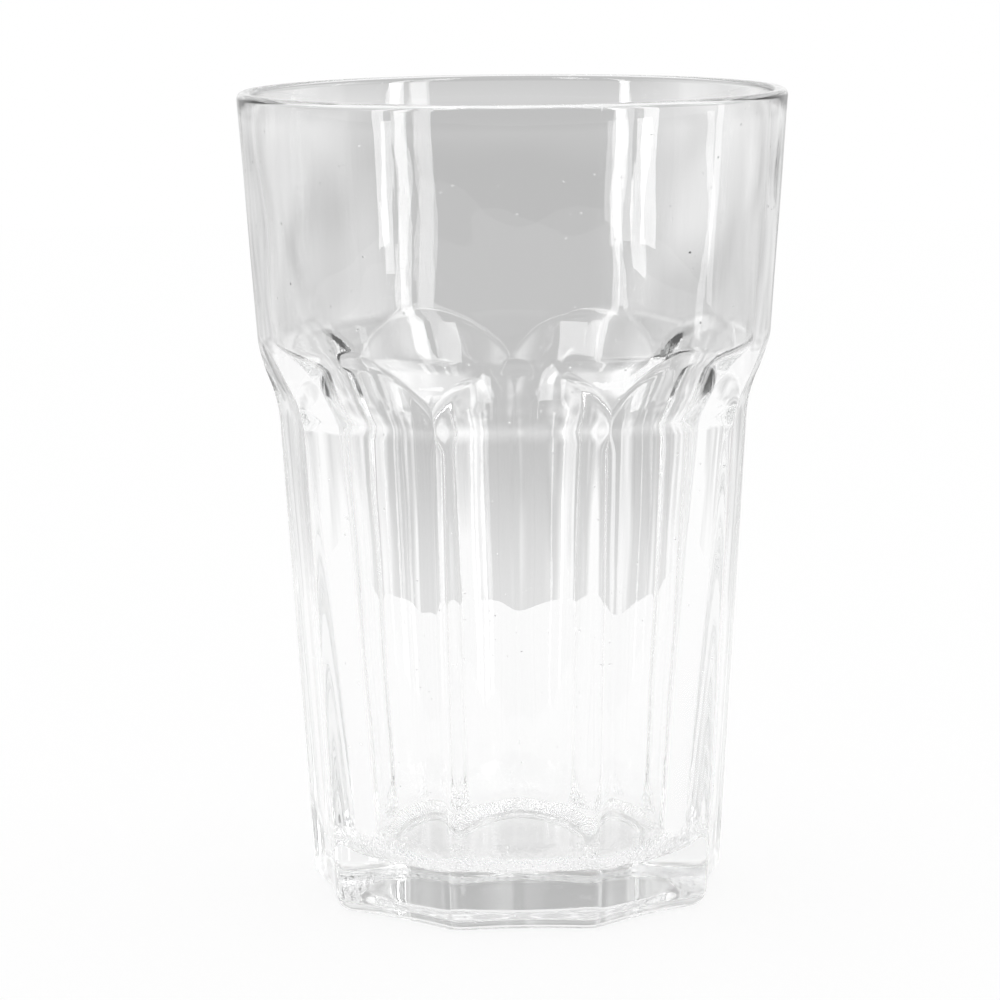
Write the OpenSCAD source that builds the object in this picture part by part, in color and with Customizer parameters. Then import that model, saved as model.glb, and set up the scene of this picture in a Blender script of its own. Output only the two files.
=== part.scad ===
// Fluted drinking glass: one pressed, tempered wall with a round bowl above nine hollow flutes.

/* [Overall] */
// Height from the table to the rim
height = 125; // [112.5:0.5:137.5]
// Outer diameter at the rim
rim_d = 84.6; // [80:0.1:90]
// How far the flutes are turned round the axis, in degrees
pattern_turn = 1.7; // [0:0.1:20]

/* [Outside] */
// Radius over the ribs where the glass stands on the table
foot_rib_r = 32.4; // [32:0.1:33]
// Radius over the ribs just under the shoulder
shoulder_rib_r = 37.1; // [36.8:0.1:37.4]
// Height at which the ribs end and the shoulder starts
shoulder_z = 74.3; // [73:0.1:75]
// How far the foot of the plain bowl stands out past the ribs
shoulder_step = 2.05; // [1.7:0.05:2.5]
// Height of the shoulder, from the top of the ribs to the foot of the bowl
shoulder_rise = 7.8; // [6.8:0.1:8.8]
// Rounding of the shoulder, at its top and at its foot
shoulder_round = 12; // [6:0.5:16]
// Rounding of the edge between the walls and the underside
foot_round = 2.7; // [1.5:0.1:3.5]
// Rounding of the two edges of the lip
lip_round = 1; // [0.5:0.05:1.1]

/* [Flutes] */
// Number of flutes round the glass
flute_count = 9; // [8:1:10]
// Radius of the hollow curve across a flute
flute_r = 98; // [90:1:110]
// How much the sharp edge between two flutes is cut back to the blunt rib
rib_blunt = 0.3; // [0.2:0.05:0.5]
// Height above the ribs' end at which the face of a flute bends out towards the bowl
run_out_lift = 3.3; // [2.8:0.1:3.3]
// Lean of the run-out that ends a flute under its arch, in degrees from upright
run_out_lean = 27.5; // [26:0.5:29]
// Rounding of the bend between a flute and its run-out
run_out_round = 12; // [8:0.5:14]

/* [Inside] */
// Thickness of the wall at the rim
rim_wall = 2.4; // [2.3:0.1:3]
// Thickness of the solid base
base_thickness = 8; // [6:0.1:12]
// Thickness of the wall over the ribs at the floor, before the inner corner is rounded
floor_wall = 7.4; // [6.4:0.1:9]
// Rounding between the floor and the inner wall
floor_round = 4.5; // [3:0.1:9]
// Thickness of the wall over the ribs, just under the shoulder
rib_wall = 4.6; // [4.4:0.1:5.6]
// Thickness of the bowl at its foot
bowl_wall = 2.1; // [2:0.05:2.8]
// How far the foot of the inner shoulder lies above that of the outer one
inner_shoulder_lift = 1.3; // [0.7:0.1:2]
// How far the foot of the inner bowl lies above that of the outer one
inner_bowl_lift = 4.4; // [3.6:0.1:6]
// Rounding of the inner shoulder
inner_round = 8; // [4:1:14]

/* [Underside] */
// Width of the ring that the glass stands on, over the ribs
bearing_width = 13.4; // [11.4:0.1:17.4]
// Depth of the hollow in the underside
hollow_depth = 1.5; // [0.4:0.1:2]

/* [Hidden] */
$fn = 180;
// Straight pieces in each rounded corner of an outline
arc_steps = 4;
// Straight pieces in the rounded foot of a flute
foot_steps = 4;
// Height of the run-out, enough to leave the bowl
run_out_rise = 14;
// How far a cutting shape runs past the glass
overrun = 4;
glass_colour = [0.86, 0.89, 0.88, 0.45];
half_flute = 180 / flute_count;
rim_r = rim_d / 2;
inner_rim_r = rim_r - rim_wall;
bowl_foot_r = shoulder_rib_r + shoulder_step;
bowl_foot_z = shoulder_z + shoulder_rise;
run_out_z = shoulder_z + run_out_lift;
floor_r = foot_rib_r - floor_wall;
inner_shoulder_r = shoulder_rib_r - rib_wall;
inner_shoulder_z = shoulder_z + inner_shoulder_lift;
inner_bowl_r = bowl_foot_r - bowl_wall;
inner_bowl_z = bowl_foot_z + inner_bowl_lift;
hollow_r = foot_rib_r - bearing_width;
// Slope of the ribs, as radius gained per height
rib_slope = (shoulder_rib_r - foot_rib_r) / shoulder_z;

// Radius over the ribs at height z, below the shoulder
function rib_r(z) = foot_rib_r + rib_slope * z;

// Distance from the axis to the middle of a flute that meets its neighbours at radius r
function flute_depth_at(r) =
    let (reach = r * sin(half_flute))
    r * cos(half_flute) - (flute_r - sqrt(flute_r * flute_r - reach * reach));

function flute_wall(z) = flute_depth_at(rib_r(z) + rib_blunt);

// Distance from the axis of the glass to the axis of the wheel that cuts a flute
wheel_offset = flute_wall(0) + flute_r;

function unit(v) = v / norm(v);

// Points of the arc of radius r that rounds the corner at p, between its neighbours a and b
function corner_arc(a, p, b, r) =
    let (
        to_a = unit(a - p),
        to_b = unit(b - p),
        half = acos(to_a * to_b) / 2,
        centre = p + unit(to_a + to_b) * r / sin(half),
        start = p + to_a * r / tan(half) - centre,
        end = p + to_b * r / tan(half) - centre,
        first = atan2(start[1], start[0]),
        swept = (atan2(end[1], end[0]) - first + 540) % 360 - 180
    )
    [for (i = [0:arc_steps]) centre + r * [cos(first + swept * i / arc_steps), sin(first + swept * i / arc_steps)]];

// An open outline of [radius, height, rounding] points, with its inner corners rounded
function rounded(path) =
    let (at = [for (q = path) [q[0], q[1]]], last = len(path) - 1)
    [
        at[0],
        for (i = [1:last - 1])
            each path[i][2] > 0 ? corner_arc(at[i - 1], at[i], at[i + 1], path[i][2]) : [at[i]],
        at[last]
    ];

// The outside as if the ribs ran all the way round
module turned_outside() {
    rotate_extrude()
        polygon(rounded([
            [0, 0, 0],
            [foot_rib_r, 0, foot_round],
            [shoulder_rib_r, shoulder_z, shoulder_round],
            [bowl_foot_r, bowl_foot_z, shoulder_round],
            [rim_r, height, lip_round],
            [0, height, 0]
        ]));
}

// A wheel with an upright axis that cuts one flute, its leaning run-out above and its rounded edge below
module flute_wheel() {
    wheel_foot_r = wheel_offset - flute_wall(0);
    bend = [wheel_offset - flute_wall(run_out_z), run_out_z];
    top = bend + run_out_rise * [-tan(run_out_lean), 1];
    rotate_extrude()
        polygon([
            [0, -overrun],
            [wheel_foot_r + foot_round, -overrun],
            for (i = [0:foot_steps])
                let (a = 90 * i / foot_steps)
                [wheel_foot_r + foot_round * (1 - sin(a)), foot_round * (1 - cos(a))],
            each corner_arc([wheel_foot_r, foot_round], bend, top, run_out_round),
            top,
            [0, top[1]]
        ]);
}

module cavity() {
    rotate_extrude()
        polygon(rounded([
            [0, base_thickness, 0],
            [floor_r, base_thickness, floor_round],
            [inner_shoulder_r, inner_shoulder_z, inner_round],
            [inner_bowl_r, inner_bowl_z, inner_round],
            [inner_rim_r, height - lip_round, 0],
            [inner_rim_r, height + overrun, 0],
            [0, height + overrun, 0]
        ]));
}

// The rounded inner edge of the lip, as the ring that is cut away round it
module inner_lip_cut() {
    rotate_extrude()
        difference() {
            translate([inner_rim_r - lip_round, height - lip_round])
                square([2 * lip_round, lip_round + overrun]);
            translate([inner_rim_r + lip_round, height - lip_round])
                circle(r = lip_round);
        }
}

module underside_hollow() {
    translate([0, 0, -overrun])
        cylinder(r = hollow_r, h = overrun + hollow_depth);
}

// The outside with its first few flutes cut
module fluted_outside(flutes) {
    if (flutes == 0)
        turned_outside();
    else
        difference() {
            fluted_outside(flutes - 1);
            rotate([0, 0, flutes * 2 * half_flute])
                translate([0, -wheel_offset, 0])
                    flute_wheel();
        }
}

module tumbler() {
    color(glass_colour)
        rotate([0, 0, pattern_turn])
            difference() {
                fluted_outside(flute_count);
                cavity();
                inner_lip_cut();
                underside_hollow();
            }
}

tumbler();
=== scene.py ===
import math

import bpy
import numpy as np
from mathutils import Matrix, Vector


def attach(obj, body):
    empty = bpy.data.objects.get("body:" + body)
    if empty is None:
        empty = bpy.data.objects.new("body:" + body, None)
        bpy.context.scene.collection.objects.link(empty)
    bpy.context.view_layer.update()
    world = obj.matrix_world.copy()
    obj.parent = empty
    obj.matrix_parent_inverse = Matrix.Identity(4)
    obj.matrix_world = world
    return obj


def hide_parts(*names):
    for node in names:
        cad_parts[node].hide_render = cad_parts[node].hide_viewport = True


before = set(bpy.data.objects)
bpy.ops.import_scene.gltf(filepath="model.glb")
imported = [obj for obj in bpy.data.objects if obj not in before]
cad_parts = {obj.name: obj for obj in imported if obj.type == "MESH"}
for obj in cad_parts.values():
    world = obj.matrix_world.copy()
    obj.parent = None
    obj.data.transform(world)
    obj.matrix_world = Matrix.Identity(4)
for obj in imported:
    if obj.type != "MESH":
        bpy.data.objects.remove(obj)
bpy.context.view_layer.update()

MM = 0.001

# The glass, in millimetres, as the solid model has it, but for a rim a hair smaller, which stays in its box
HEIGHT = 125.0
RIM_R = 42.27
PATTERN_TURN = math.radians(1.7)
FOOT_RIB_R = 32.4
SHOULDER_RIB_R = 37.1
SHOULDER_Z = 74.3
BOWL_FOOT_R = 39.15
BOWL_FOOT_Z = 82.1
SHOULDER_ROUND = 12.0
FOOT_ROUND = 2.7
LIP_ROUND = 1.0
FLUTES = 9
FLUTE_R = 98.0
RIB_BLUNT = 0.3
RUN_OUT_Z = 77.6
RUN_OUT_LEAN = math.radians(27.5)
RUN_OUT_ROUND = 12.0
# Height over which the run-out is followed, enough to leave the bowl
RUN_OUT_RISE = 60
RIM_WALL = 2.4
FLOOR_Z = 8.0
FLOOR_R = 25.0
FLOOR_ROUND = 4.5
INNER_SHOULDER = (32.5, 75.6)
INNER_BOWL = (37.05, 86.5)
INNER_ROUND = 8.0
HOLLOW_R = 19.0
HOLLOW_DEPTH = 1.5
HALF_FLUTE = math.pi / FLUTES

# What the finished glass adds to the solid: blended edges, in millimetres, and the soft edge of the hollow
# underneath, as a share of its radius
BLEND = 0.5
HOLLOW_EDGE_SHARE = 0.08
# Slow unevenness of the pressed walls, in millimetres, and how much of it there is at each height
RIPPLE = 0.055
RIPPLE_Z = (10, 30, 70, 90, 112, 123)
RIPPLE_SHARE = (0, 0.4, 0.4, 1, 1, 0)
# Its waves: share, turns round the glass, turn per millimetre up, start, and how far the phase moves it
RIPPLE_WAVES = (
    (0.5, 5, 0.10, 0.0, 1.0),
    (0.35, 9, -0.17, 0.0, 2.1),
    (0.3, 13, 0.23, 0.7, 1.0),
    (0.25, 7, -0.31, 0.0, 1.3),
    (0.08, 17, 0.83, 0.0, 1.9),
)
OUTSIDE_PHASE = 0.0
INSIDE_PHASE = 2.4

# Points along the outline, stretch by stretch
HOLLOW_RINGS = 5
HOLLOW_EDGE_STEPS = 8
BEARING_RINGS = 5
FOOT_ROWS = 10
WALL_ROWS = 18
ARCH_LOW_ROWS = 26
ARCH_ROWS = 26
BOWL_FOOT_ROWS = 14
BOWL_ROWS = 9
LIP_STEPS = 8
LIP_POINTS = 2 * LIP_STEPS + 1
OUTER_ARC_STEPS = 24
INNER_ARC_STEPS = 12
INNER_STEP = 4.0
# Columns in half a flute, and how strongly they crowd towards its ribs
COLUMNS = 24
CROWDING = 1.5
# Where the rows under the arches start, how far they keep to the arch, and where the bowl's own rows start
ARCH_LOW_Z = 66.0
ARCH_BAND = 2.5
BOWL_Z = 97.0
# Heights between which an arch is looked for, and how often that stretch is halved
ARCH_SEARCH_Z = (RUN_OUT_Z - 12, 100.0)
HALVINGS = 40
# Share of half a flute, from its middle, within which the rows follow the arch
ARCH_SHARE = 0.875
# Distance within which points are welded, in metres, and how many are matched to the outline at once
WELD = 1e-7
POINTS_AT_ONCE = 4000

# Glass: how it bends light, and its faint grey, whose strength is per metre
GLASS_IOR = 1.52
GLASS_TINT = (0.5, 0.52, 0.51, 1)
GLASS_DEPTH = 2.6
# Fine relief of the glass: heights, places and spans in metres
STREAK_HEIGHT = 0.000004
STREAK_SCALE = 900.0
STREAK_STRETCH = (1.0, 1.0, 0.04)
SPECK_HEIGHT = 0.00006
SPECK_SCALE = 260.0
SPECK_SPAN = (0.01, 0.065)
KNURLS = 110
KNURL_HEIGHT = 0.00008
UNDERSIDE_Z = (0.0001, 0.0004)
STIPPLE_SCALE = 850.0
STIPPLE_HEIGHT = 0.0002
GRAIN_SCALE = 1000.0
GRAIN_HEIGHT = 0.0004
GRAIN_R = 0.0285
GRAIN_EDGE = 1.02
GRAIN_LOW_Z = (0.00805, 0.0084)
GRAIN_HIGH_Z = (0.0105, 0.0135)

# Camera, fitted to the outline of the glass: metres, and pixels of a picture 1000 pixels wide
CAMERA_BACK = 0.6562
CAMERA_HEIGHT = 0.1623
LENS_PX = 4272.0
PICTURE_PX = 1000
SENSOR_MM = 36.0
PITCH = math.radians(8.75)
YAW = math.radians(0.21)
ROLL = math.radians(0.51)
CLIP_NEAR = 0.01
CLIP_FAR = 20.0

# Studio: a white table, a curved card behind, cards all round and tall soft lamps, in metres
TABLE_R = 1.2
TABLE_SIDES = 128
TABLE_GAP = 0.0001
TABLE_WHITE = (0.98, 0.98, 0.98, 1)
TABLE_GLOW_SHARE = 0.88
CARD_SIDES = 360
BACKDROP_R = 0.19
BACKDROP_HEIGHT = 0.16
# Strength of the backdrop behind the bowl, in the middle and at the sides
BOWL_DARK = 0.52
BOWL_SIDE = 0.69
BOWL_SIDE_X = (0.018, 0.042)
# The same behind the flutes
FLUTE_DARK = 0.5
FLUTE_SIDE = 0.74
FLUTE_SIDE_X = (0.028, 0.075)
BETWEEN_Z = (0.042, 0.056)
# Painted light added to the backdrop near the table and along the top
LOW_PAINTED_LIGHT = 0.24
LOW_Z = 0.038
TOP_PAINTED_LIGHT = 0.2
TOP_Z = (0.098, 0.118)
# Patches of painted light and shade at the sides of the backdrop, lighter and darker than the value in the
# middle of the noise
LIGHT_PATCH_SCALE = 32.0
LIGHT_PATCH_STRENGTH = 0.9
LIGHT_PATCH_MIDDLE = 0.45
SURROUND_R = 0.5
SURROUND_HEIGHT = 0.9
FRONT_GREY = (0.47, 0.47, 0.47)
BACK_GREY = (0.66, 0.66, 0.66)
WHITE = (1, 1, 1)
LAMP_R = 0.48
# Soft lamps: first and last angle from the front, lowest and highest edge, strength
LAMPS = (
    ("left_lamp", -57, -52, 0.0, 0.6, 5.5),
    ("right_lamp", 40, 49, 0.0, 0.6, 3.8),
    ("right_side_lamp", 53, 60, 0.0, 0.6, 6.0),
    ("far_right_lamp", 90, 94, 0.0, 0.6, 3.0),
    ("high_left_lamp", -44, -27, 0.45, 1.1, 6.0),
    ("high_right_lamp", 34, 52, 0.45, 1.1, 6.0),
)
# Bounces enough for light to find its way out of the thick base and ribs
LIGHT_BOUNCES = 32


def deselect():
    if bpy.context.object and bpy.context.object.mode != "OBJECT":
        bpy.ops.object.mode_set(mode="OBJECT")
    bpy.ops.object.select_all(action="DESELECT")


def rounded_path(corners, steps):
    """Open outline of (radius, height, rounding) corners as points, each rounded corner an arc."""
    path = [Vector(corners[0][:2])]
    for before, corner, after in zip(corners, corners[1:], corners[2:]):
        p, rounding = Vector(corner[:2]), corner[2]
        if rounding <= 0:
            path.append(p)
            continue
        u = (Vector(before[:2]) - p).normalized()
        v = (Vector(after[:2]) - p).normalized()
        half = math.acos(max(-1, min(1, u.dot(v)))) / 2
        centre = p + (u + v).normalized() * rounding / math.sin(half)
        start = p + u * rounding / math.tan(half) - centre
        end = p + v * rounding / math.tan(half) - centre
        first = math.atan2(start.y, start.x)
        swept = (math.atan2(end.y, end.x) - first + 3 * math.pi) % (2 * math.pi) - math.pi
        for i in range(steps + 1):
            a = first + swept * i / steps
            path.append(centre + rounding * Vector((math.cos(a), math.sin(a))))
    path.append(Vector(corners[-1][:2]))
    return path


def evenly(path, step):
    """The same path with its straight stretches cut into pieces no longer than step."""
    out = [path[0]]
    for a, b in zip(path, path[1:]):
        pieces = max(1, math.ceil((b - a).length / step))
        out += [a.lerp(b, i / pieces) for i in range(1, pieces + 1)]
    return out


def smooth_min(a, b, width):
    """The smaller of two distances, blended where they differ by less than the width."""
    h = np.maximum(width - np.abs(a - b), 0) / width
    return np.minimum(a, b) - h * h * width / 4


TURNED = rounded_path([
    (FOOT_RIB_R, 0, 0),
    (SHOULDER_RIB_R, SHOULDER_Z, SHOULDER_ROUND),
    (BOWL_FOOT_R, BOWL_FOOT_Z, SHOULDER_ROUND),
    (RIM_R, HEIGHT, 0),
], OUTER_ARC_STEPS)


def turned_radius(z):
    """Outside radius at height z as if the ribs ran all the way round."""
    return np.interp(z, [p.y for p in TURNED], [p.x for p in TURNED])


def straight_middle(z):
    """Distance from the axis to the middle of a flute at height z, below its run-out."""
    rib = FOOT_RIB_R + (SHOULDER_RIB_R - FOOT_RIB_R) / SHOULDER_Z * z + RIB_BLUNT
    reach = rib * math.sin(HALF_FLUTE)
    return rib * math.cos(HALF_FLUTE) - (FLUTE_R - math.sqrt(FLUTE_R ** 2 - reach ** 2))


RUN_OUT = rounded_path([
    (straight_middle(0), 0, 0),
    (straight_middle(RUN_OUT_Z), RUN_OUT_Z, RUN_OUT_ROUND),
    (straight_middle(RUN_OUT_Z) + RUN_OUT_RISE * math.tan(RUN_OUT_LEAN), RUN_OUT_Z + RUN_OUT_RISE, 0),
], OUTER_ARC_STEPS)


def flute_middle(z):
    """Distance from the axis to the middle of a flute at height z, its run-out included."""
    return np.interp(z, [p.y for p in RUN_OUT], [p.x for p in RUN_OUT])


def flute_radius(angle, z):
    """Distance from the axis to a flute's hollow face, at an angle from the flute's middle."""
    centre = flute_middle(z) + FLUTE_R
    return centre * np.cos(angle) - np.sqrt(FLUTE_R ** 2 - (centre * np.sin(angle)) ** 2)


def arch_height(angle):
    """Height at which a flute's run-out leaves the turned outside, at an angle from its middle."""
    low, high = (np.full_like(angle, z) for z in ARCH_SEARCH_Z)
    for _ in range(HALVINGS):
        mid = (low + high) / 2
        cut = flute_radius(angle, mid) < turned_radius(mid)
        low, high = np.where(cut, mid, low), np.where(cut, high, mid)
    return low


def outside_heights(angle):
    """Heights of the rows over the foot's rounding, for each angle from a flute's middle."""
    arch = arch_height(np.minimum(angle, HALF_FLUTE * ARCH_SHARE))
    low, top = np.full_like(angle, ARCH_LOW_Z), np.full_like(angle, BOWL_Z)
    foot, lip = np.full_like(angle, FOOT_ROUND), np.full_like(angle, HEIGHT - LIP_ROUND)
    rows = []
    for start, end, count in (
        (foot, low, WALL_ROWS),
        (low, arch - ARCH_BAND, ARCH_LOW_ROWS),
        (arch - ARCH_BAND, arch + ARCH_BAND, ARCH_ROWS),
        (arch + ARCH_BAND, top, BOWL_FOOT_ROWS),
        (top, lip, BOWL_ROWS),
    ):
        rows += [start + (end - start) * i / count for i in range(1, count + 1)]
    return np.array(rows)


def foot_inset(z):
    """How far the rounding of the foot takes the outside in, at height z."""
    short = np.clip(FOOT_ROUND - z, 0, FOOT_ROUND)
    return FOOT_ROUND - np.sqrt(FOOT_ROUND ** 2 - short ** 2)


def outside_radius(angle, z):
    """Outside radius at an angle from a flute's middle and a height, foot rounding included."""
    return smooth_min(turned_radius(z), flute_radius(angle, z), BLEND) - foot_inset(z)


def ripple(turn, z, phase):
    """Slow unevenness of a pressed wall, at an angle round the glass and a height."""
    waves = sum(share * np.sin(turns * turn + rise * z + start + moved * phase)
                for share, turns, rise, start, moved in RIPPLE_WAVES)
    return RIPPLE * waves * np.interp(z, RIPPLE_Z, RIPPLE_SHARE)


def underside_outline():
    """The outline under the glass, from the middle of the hollow to the start of the foot's rounding."""
    edge = HOLLOW_R * HOLLOW_EDGE_SHARE
    standing, foot_r = HOLLOW_R + edge, FOOT_RIB_R - FOOT_ROUND
    points = [Vector(((HOLLOW_R - edge) * i / HOLLOW_RINGS, HOLLOW_DEPTH)) for i in range(HOLLOW_RINGS + 1)]
    for i in range(1, HOLLOW_EDGE_STEPS + 1):
        t = i / HOLLOW_EDGE_STEPS
        depth = HOLLOW_DEPTH * (0.5 + 0.5 * math.cos(math.pi * t))
        points.append(Vector((HOLLOW_R - edge + 2 * edge * t, depth)))
    points += [Vector((standing + (foot_r - standing) * i / (BEARING_RINGS + 1), 0))
               for i in range(1, BEARING_RINGS + 1)]
    return points


def lip_outline():
    """The rounded lip, from the outside over the top to the inside."""
    outer_r = float(turned_radius(HEIGHT - LIP_ROUND)) - LIP_ROUND
    inner_r = RIM_R - RIM_WALL + LIP_ROUND
    foot_z = HEIGHT - LIP_ROUND
    quarter = [math.pi / 2 * i / LIP_STEPS for i in range(LIP_STEPS + 1)]
    outer = [Vector((outer_r + LIP_ROUND * math.cos(a), foot_z + LIP_ROUND * math.sin(a))) for a in quarter]
    inner = [Vector((inner_r - LIP_ROUND * math.sin(a), foot_z + LIP_ROUND * math.cos(a))) for a in quarter]
    return outer[1:] + inner


def glass_profile():
    """Half outline of the glass, from the middle of the underside to the middle of the floor.

    With it come the number of its first point that takes the flutes, and of the first one after those.
    """
    under = underside_outline()
    first = len(under)
    foot = [FOOT_ROUND * (1 - math.cos(math.pi / 2 * i / FOOT_ROWS)) for i in range(FOOT_ROWS + 1)]
    heights = foot + list(outside_heights(np.zeros(1))[:, 0])
    outside = [Vector((float(turned_radius(z) - foot_inset(z)), z)) for z in heights]
    last = first + len(outside)
    inside = evenly(rounded_path([
        (RIM_R - RIM_WALL, HEIGHT - LIP_ROUND, 0),
        (*INNER_BOWL, INNER_ROUND),
        (*INNER_SHOULDER, INNER_ROUND),
        (FLOOR_R, FLOOR_Z, FLOOR_ROUND),
        (0, FLOOR_Z, 0),
    ], INNER_ARC_STEPS), INNER_STEP)[1:]
    return under + outside + lip_outline() + inside, first, last


def spin_profile(name, profile, steps):
    """A closed turned shape: the profile is drawn point by point, spun round Z and welded."""
    deselect()
    bpy.ops.mesh.primitive_circle_add(vertices=3, radius=MM, location=(0, 0, 0))
    piece = bpy.context.object
    piece.name = name
    bpy.ops.object.mode_set(mode="EDIT")
    bpy.ops.mesh.select_all(action="SELECT")
    bpy.ops.mesh.merge(type="CENTER")
    bpy.ops.transform.translate(value=(profile[0].x * MM, 0, profile[0].y * MM))
    for a, b in zip(profile, profile[1:]):
        move = ((b.x - a.x) * MM, 0, (b.y - a.y) * MM)
        bpy.ops.mesh.extrude_vertices_move(TRANSFORM_OT_translate={"value": move})
    bpy.ops.mesh.select_all(action="SELECT")
    bpy.ops.mesh.spin(steps=steps, angle=2 * math.pi, center=(0, 0, 0), axis=(0, 0, 1))
    bpy.ops.mesh.select_all(action="SELECT")
    bpy.ops.mesh.remove_doubles(threshold=WELD)
    bpy.ops.mesh.normals_make_consistent(inside=False)
    bpy.ops.object.mode_set(mode="OBJECT")
    return piece


def nearest_points(radius, z, outline):
    """For each place, the number of the outline's nearest point."""
    nearest = np.empty(len(radius), int)
    for start in range(0, len(radius), POINTS_AT_ONCE):
        part = slice(start, start + POINTS_AT_ONCE)
        gap = (radius[part, None] - outline[None, :, 0]) ** 2 + (z[part, None] - outline[None, :, 1]) ** 2
        nearest[part] = gap.argmin(axis=1)
    return nearest


def shape_flutes(piece, profile, first, last, steps):
    """Moves the turned glass's points on to the flutes, arches and ribs."""
    mesh = piece.data
    co = np.empty(len(mesh.vertices) * 3)
    mesh.vertices.foreach_get("co", co)
    co = co.reshape(-1, 3) / MM
    column = np.round(np.arctan2(co[:, 1], co[:, 0]) / (2 * math.pi) * steps).astype(int) % steps
    outline = np.array([[p.x, p.y] for p in profile])
    row = nearest_points(np.hypot(co[:, 0], co[:, 1]), co[:, 2], outline)
    # columns crowd towards the ribs, where the surface turns most
    share = (column % (2 * COLUMNS)) / COLUMNS - 1
    turn = HALF_FLUTE * np.sign(share) * (1 - (1 - np.abs(share)) ** CROWDING)
    base = np.abs(turn)
    flute = column // (2 * COLUMNS)
    theta = flute * 2 * HALF_FLUTE + turn + PATTERN_TURN
    angles, place = np.unique(np.round(base, 9), return_inverse=True)
    heights = outside_heights(angles)
    r, z = outline[row, 0], outline[row, 1]
    wall = (row >= first) & (row < last)
    over = wall & (row > first + FOOT_ROWS)
    z[over] = heights[row[over] - first - FOOT_ROWS - 1, place[over]]
    r[wall] = outside_radius(base[wall], z[wall])
    r[over] += ripple(theta[over], z[over], OUTSIDE_PHASE)
    inside = row >= last + LIP_POINTS
    r[inside] += ripple(theta[inside], z[inside], INSIDE_PHASE)
    # the flat ring of the underside follows the fluted edge
    ring_start = first - BEARING_RINGS - 1
    flat = (row > ring_start) & (row < first)
    inner = outline[ring_start, 0]
    step = (row[flat] - ring_start) / (BEARING_RINGS + 1)
    r[flat] = inner + (outside_radius(base[flat], np.zeros(flat.sum())) - inner) * step
    co[:, 0] = r * np.sin(theta)
    co[:, 1] = -r * np.cos(theta)
    co[:, 2] = z
    mesh.vertices.foreach_set("co", (co * MM).ravel())
    mesh.update()


def make_glass():
    profile, first, last = glass_profile()
    steps = FLUTES * 2 * COLUMNS
    piece = spin_profile("fluted_glass", profile, steps)
    shape_flutes(piece, profile, first, last, steps)
    deselect()
    piece.select_set(True)
    bpy.context.view_layer.objects.active = piece
    bpy.ops.object.mode_set(mode="EDIT")
    bpy.ops.mesh.select_all(action="SELECT")
    bpy.ops.mesh.normals_make_consistent(inside=False)
    bpy.ops.object.mode_set(mode="OBJECT")
    bpy.ops.object.shade_smooth()
    return piece


def add_node(nodes, kind, **settings):
    node = nodes.new(kind)
    for name, value in settings.items():
        setattr(node, name, value)
    return node


def ramp(nodes, links, source, span, values):
    """A smooth ramp from one value to another while the source crosses a span."""
    node = add_node(nodes, "ShaderNodeMapRange", interpolation_type="SMOOTHSTEP")
    for name, value in zip(("From Min", "From Max", "To Min", "To Max"), (*span, *values)):
        node.inputs[name].default_value = value
    links.new(source, node.inputs["Value"])
    return node.outputs["Result"]


def combine(nodes, links, operation, first, second, clamp=False):
    """One Math node on two sources; either may be a plain number."""
    node = add_node(nodes, "ShaderNodeMath", operation=operation, use_clamp=clamp)
    for socket, value in zip(node.inputs, (first, second)):
        if isinstance(value, (int, float)):
            socket.default_value = value
        else:
            links.new(value, socket)
    return node.outputs["Value"]


def noise(nodes, links, place, scale, detail):
    """Soft noise over a place, about 0.5 in the middle."""
    node = add_node(nodes, "ShaderNodeTexNoise")
    node.inputs["Scale"].default_value = scale
    node.inputs["Detail"].default_value = detail
    links.new(place, node.inputs["Vector"])
    return node.outputs["Fac"]


def object_place(nodes, links):
    """The place on the piece, whole and split into X, Y and Z."""
    place = add_node(nodes, "ShaderNodeTexCoord").outputs["Object"]
    split = add_node(nodes, "ShaderNodeSeparateXYZ")
    links.new(place, split.inputs["Vector"])
    return place, split.outputs["X"], split.outputs["Y"], split.outputs["Z"]


def wall_relief(nodes, links, place):
    """Streaks drawn upwards by the plunger, and small specks and pits."""
    stretch = add_node(nodes, "ShaderNodeMapping")
    stretch.inputs["Scale"].default_value = STREAK_STRETCH
    links.new(place, stretch.inputs["Vector"])
    streaks = noise(nodes, links, stretch.outputs["Vector"], STREAK_SCALE, 2.0)
    specks = add_node(nodes, "ShaderNodeTexVoronoi")
    specks.inputs["Scale"].default_value = SPECK_SCALE
    links.new(place, specks.inputs["Vector"])
    streak_height = combine(nodes, links, "MULTIPLY", streaks, STREAK_HEIGHT)
    speck_height = ramp(nodes, links, specks.outputs["Distance"], SPECK_SPAN, (SPECK_HEIGHT, 0.0))
    return combine(nodes, links, "ADD", streak_height, speck_height)


def underside_relief(nodes, links, place, x, y, z):
    """Short radial ridges and a stipple on the ring that the glass stands on."""
    turn = combine(nodes, links, "ARCTAN2", x, y)
    ridges = combine(nodes, links, "SINE", combine(nodes, links, "MULTIPLY", turn, KNURLS), 0)
    stipple = noise(nodes, links, place, STIPPLE_SCALE, 1.0)
    ridge_height = combine(nodes, links, "MULTIPLY", ridges, KNURL_HEIGHT)
    stipple_height = combine(nodes, links, "MULTIPLY", stipple, STIPPLE_HEIGHT)
    relief = combine(nodes, links, "ADD", ridge_height, stipple_height)
    return combine(nodes, links, "MULTIPLY", relief, ramp(nodes, links, z, UNDERSIDE_Z, (1.0, 0.0)))


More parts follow.
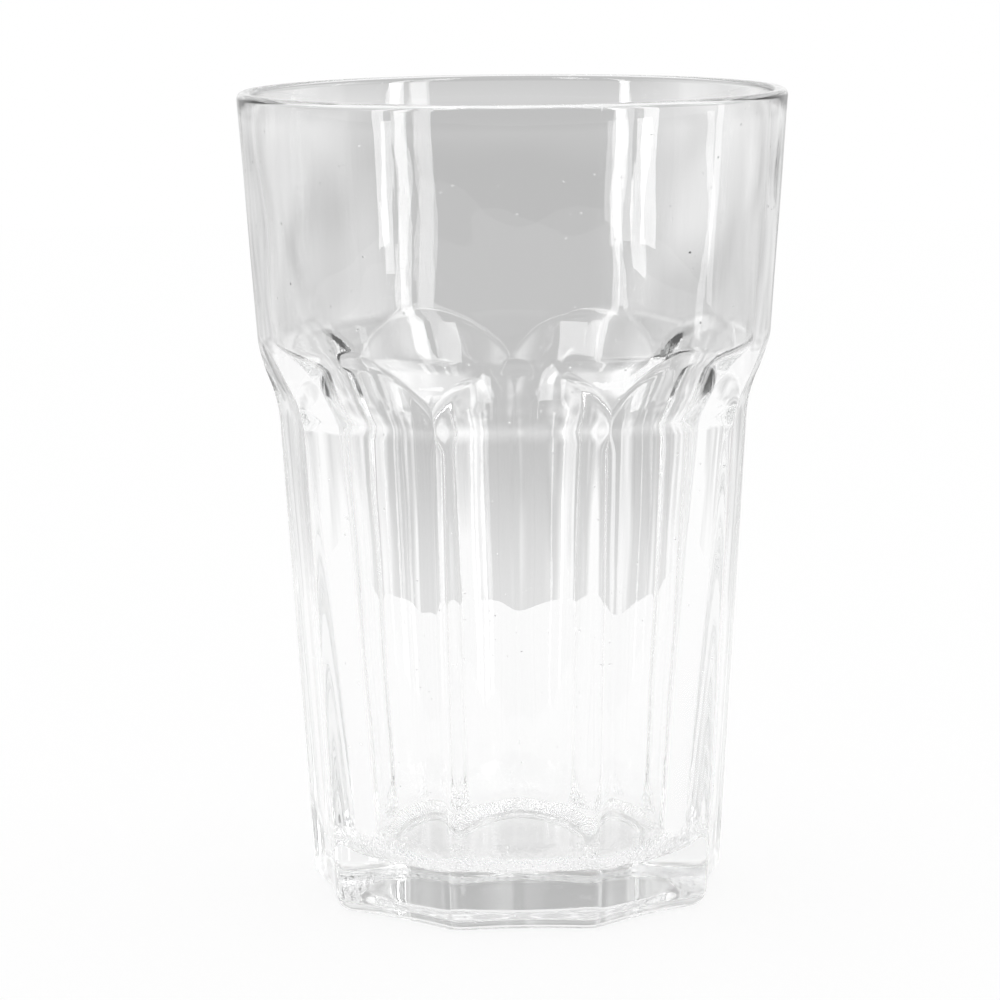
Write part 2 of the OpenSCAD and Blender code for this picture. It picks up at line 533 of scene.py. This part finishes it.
def floor_relief(nodes, links, place, x, y, z):
    """Grain left by the plunger round the edge of the floor."""
    grain = noise(nodes, links, place, GRAIN_SCALE, 2.0)
    x_squared, y_squared = (combine(nodes, links, "MULTIPLY", side, side) for side in (x, y))
    reach = combine(nodes, links, "ADD", x_squared, y_squared)
    inside = ramp(nodes, links, reach, (GRAIN_R ** 2, (GRAIN_R * GRAIN_EDGE) ** 2), (1.0, 0.0))
    from_floor = ramp(nodes, links, z, GRAIN_LOW_Z, (0.0, 1.0))
    up_wall = ramp(nodes, links, z, GRAIN_HIGH_Z, (GRAIN_HEIGHT, 0.0))
    band = combine(nodes, links, "MULTIPLY", combine(nodes, links, "MULTIPLY", inside, from_floor), up_wall)
    return combine(nodes, links, "MULTIPLY", grain, band)


def clear_glass():
    """Clear pressed glass: faintly grey in its depth, with fine streaks, specks, knurls and grain."""
    material = bpy.data.materials.new("clear_glass")
    material.use_nodes = True
    nodes, links = material.node_tree.nodes, material.node_tree.links
    shader = nodes["Principled BSDF"]
    shader.inputs["Base Color"].default_value = (*WHITE, 1)
    shader.inputs["Roughness"].default_value = 0.0
    shader.inputs["IOR"].default_value = GLASS_IOR
    shader.inputs["Transmission Weight"].default_value = 1.0
    depth = add_node(nodes, "ShaderNodeVolumeAbsorption")
    depth.inputs["Color"].default_value = GLASS_TINT
    depth.inputs["Density"].default_value = GLASS_DEPTH
    links.new(depth.outputs["Volume"], nodes["Material Output"].inputs["Volume"])
    place, x, y, z = object_place(nodes, links)
    floor = floor_relief(nodes, links, place, x, y, z)
    underside = underside_relief(nodes, links, place, x, y, z)
    base = combine(nodes, links, "ADD", floor, underside)
    height = combine(nodes, links, "ADD", wall_relief(nodes, links, place), base)
    bump = add_node(nodes, "ShaderNodeBump")
    bump.inputs["Strength"].default_value = 1.0
    bump.inputs["Distance"].default_value = 1.0
    links.new(height, bump.inputs["Height"])
    links.new(bump.outputs["Normal"], shader.inputs["Normal"])
    return material


def lit_card(name, colour, strength):
    """A card or soft lamp that gives an even light."""
    material = bpy.data.materials.new(name)
    material.use_nodes = True
    nodes, links = material.node_tree.nodes, material.node_tree.links
    nodes.clear()
    out = add_node(nodes, "ShaderNodeOutputMaterial")
    light = add_node(nodes, "ShaderNodeEmission")
    light.inputs["Color"].default_value = (*colour, 1)
    light.inputs["Strength"].default_value = strength
    links.new(light.outputs["Emission"], out.inputs["Surface"])
    return material


def shaded_backdrop():
    """The card behind: grey in the middle, paler at its sides, with painted light near the table and along
    its top, and patches of painted light and shade at its sides.
    """
    material = lit_card("grey_backdrop", WHITE, 1.0)
    nodes, links = material.node_tree.nodes, material.node_tree.links
    place, x, _, height = object_place(nodes, links)
    sideways = combine(nodes, links, "ABSOLUTE", x, 0)
    bowl = ramp(nodes, links, sideways, BOWL_SIDE_X, (BOWL_DARK, BOWL_SIDE))
    flutes = ramp(nodes, links, sideways, FLUTE_SIDE_X, (FLUTE_DARK, FLUTE_SIDE))
    share = ramp(nodes, links, height, BETWEEN_Z, (0.0, 1.0))
    bowl_part = combine(nodes, links, "MULTIPLY", bowl, share)
    flute_part = combine(nodes, links, "MULTIPLY", flutes, combine(nodes, links, "SUBTRACT", 1.0, share))
    shades = combine(nodes, links, "ADD", bowl_part, flute_part)
    # painted light: the backdrop lighter towards the table and along its top
    low = ramp(nodes, links, height, (0.0, LOW_Z), (LOW_PAINTED_LIGHT, 0.0))
    top = ramp(nodes, links, height, TOP_Z, (0.0, TOP_PAINTED_LIGHT))
    painted_edge_light = combine(nodes, links, "ADD", low, top)
    # painted light and shade: soft lighter and darker patches at the sides
    away = ramp(nodes, links, sideways, BOWL_SIDE_X, (0.0, LIGHT_PATCH_STRENGTH))
    light_patches = combine(nodes, links, "SUBTRACT", noise(nodes, links, place, LIGHT_PATCH_SCALE, 1.0), LIGHT_PATCH_MIDDLE)
    added = combine(nodes, links, "ADD", painted_edge_light, combine(nodes, links, "MULTIPLY", light_patches, away))
    total = combine(nodes, links, "ADD", shades, added, clamp=True)
    links.new(total, nodes["Emission"].inputs["Strength"])
    return material


def white_table():
    """White table top that reads as white through the glass too, and keeps a soft shadow."""
    material = lit_card("white_table", WHITE, 1.0)
    nodes, links = material.node_tree.nodes, material.node_tree.links
    matt = add_node(nodes, "ShaderNodeBsdfDiffuse")
    matt.inputs["Color"].default_value = TABLE_WHITE
    ray = add_node(nodes, "ShaderNodeLightPath")
    seen = combine(nodes, links, "MAXIMUM", ray.outputs["Is Camera Ray"], ray.outputs["Is Transmission Ray"])
    seen_or_mirrored = combine(nodes, links, "MAXIMUM", seen, ray.outputs["Is Glossy Ray"])
    mix = add_node(nodes, "ShaderNodeMixShader")
    links.new(combine(nodes, links, "MULTIPLY", seen_or_mirrored, TABLE_GLOW_SHARE), mix.inputs["Fac"])
    links.new(matt.outputs["BSDF"], mix.inputs[1])
    links.new(nodes["Emission"].outputs["Emission"], mix.inputs[2])
    links.new(mix.outputs["Shader"], nodes["Material Output"].inputs["Surface"])
    return material


def make_table():
    deselect()
    bpy.ops.mesh.primitive_circle_add(vertices=TABLE_SIDES, radius=TABLE_R, fill_type="NGON",
                                      location=(0, 0, -TABLE_GAP))
    bpy.ops.object.transform_apply(location=True, rotation=True, scale=True)
    table = bpy.context.object
    table.name = "table_top"
    table.data.materials.append(white_table())


def standing_card(name, radius, low, high, start, end, material):
    """An upright curved card between two heights and two angles, in degrees from the front towards +X."""
    deselect()
    bpy.ops.mesh.primitive_cylinder_add(vertices=CARD_SIDES, radius=radius, depth=high - low,
                                        end_fill_type="NOTHING", location=(0, 0, (low + high) / 2))
    bpy.ops.object.transform_apply(location=True, rotation=True, scale=True)
    card = bpy.context.object
    card.name = name
    bpy.ops.object.mode_set(mode="EDIT")
    bpy.ops.mesh.select_all(action="DESELECT")
    bpy.ops.object.mode_set(mode="OBJECT")
    for face in card.data.polygons:
        turn = math.degrees(math.atan2(face.center.x, -face.center.y))
        face.select = (turn - start) % 360 > end - start
    bpy.ops.object.mode_set(mode="EDIT")
    bpy.ops.mesh.delete(type="FACE")
    bpy.ops.object.mode_set(mode="OBJECT")
    card.data.materials.append(material)
    # the cards show in and through the glass, and leave the picture round it white
    card.visible_camera = False
    card.visible_diffuse = False
    card.visible_shadow = False


def make_studio():
    make_table()
    standing_card("backdrop", BACKDROP_R, 0, BACKDROP_HEIGHT, 90, 270, shaded_backdrop())
    front, back = lit_card("grey_card", FRONT_GREY, 1.0), lit_card("pale_card", BACK_GREY, 1.0)
    standing_card("front_card", SURROUND_R, 0, SURROUND_HEIGHT, -90, 90, front)
    standing_card("back_card", SURROUND_R, 0, SURROUND_HEIGHT, 90, 270, back)
    for name, start, end, low, high, strength in LAMPS:
        standing_card(name, LAMP_R, low, high, start, end, lit_card(name, WHITE, strength))
    world = bpy.data.worlds.new("studio")
    bpy.context.scene.world = world
    world.use_nodes = True
    background = world.node_tree.nodes["Background"]
    background.inputs["Color"].default_value = (*WHITE, 1)
    background.inputs["Strength"].default_value = 1.0


def make_camera():
    data = bpy.data.cameras.new("camera")
    data.sensor_width = SENSOR_MM
    data.lens = SENSOR_MM * LENS_PX / PICTURE_PX
    data.clip_start, data.clip_end = CLIP_NEAR, CLIP_FAR
    camera = bpy.data.objects.new("camera", data)
    bpy.context.scene.collection.objects.link(camera)
    camera.matrix_world = (
        Matrix.Translation((0, -CAMERA_BACK, CAMERA_HEIGHT))
        @ Matrix.Rotation(YAW, 4, "Z")
        @ Matrix.Rotation(math.pi / 2 - PITCH, 4, "X")
        @ Matrix.Rotation(-ROLL, 4, "Z")
    )
    bpy.context.scene.camera = camera


glass = make_glass()
glass.data.materials.clear()
glass.data.materials.append(clear_glass())
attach(glass, "root")
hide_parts("tumbler")
make_studio()
make_camera()
bpy.context.scene.view_settings.view_transform = "Standard"
bpy.context.scene.cycles.max_bounces = LIGHT_BOUNCES
bpy.context.scene.cycles.transmission_bounces = LIGHT_BOUNCES
bpy.context.scene.cycles.glossy_bounces = LIGHT_BOUNCES
